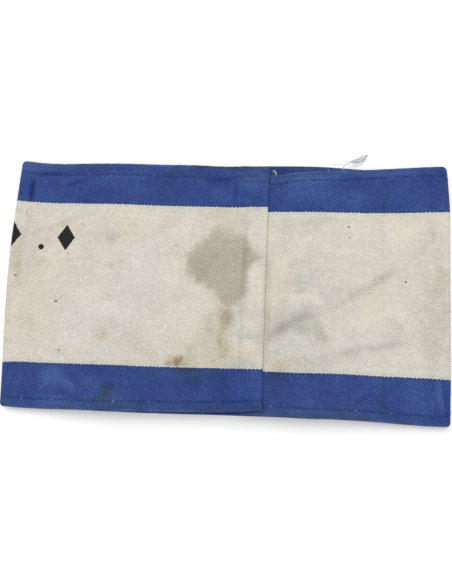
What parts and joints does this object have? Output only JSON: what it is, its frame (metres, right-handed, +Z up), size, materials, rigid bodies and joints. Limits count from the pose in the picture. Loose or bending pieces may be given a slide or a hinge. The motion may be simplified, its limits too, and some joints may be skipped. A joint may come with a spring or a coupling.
{
  "type": "cloth armband",
  "caption": "Flat-lying cloth armband: a hemmed strip of cream drill with a blue stripe along each long edge, seamed into a loop.",
  "frame": {"origin": "centre of the armband's footprint on the surface it lies on", "axes": "+X along the band towards the fold nearer the seam, +Y across the band towards its upper edge in the picture, +Z up from the surface to the side with the seam"},
  "size_m": [0.175, 0.1003, 0.0092],
  "materials": {
    "drill_cream": "matt cotton twill, cream, stained and worn",
    "drill_blue": "matt cotton twill, blue, worn paler along the edges",
    "sewing_thread": "matt blue cotton sewing thread",
    "thread_end": "matt pale loose thread"
  },
  "bodies": {
    "root": {"band": "drill_cream"}
  },
  "joints": []
}
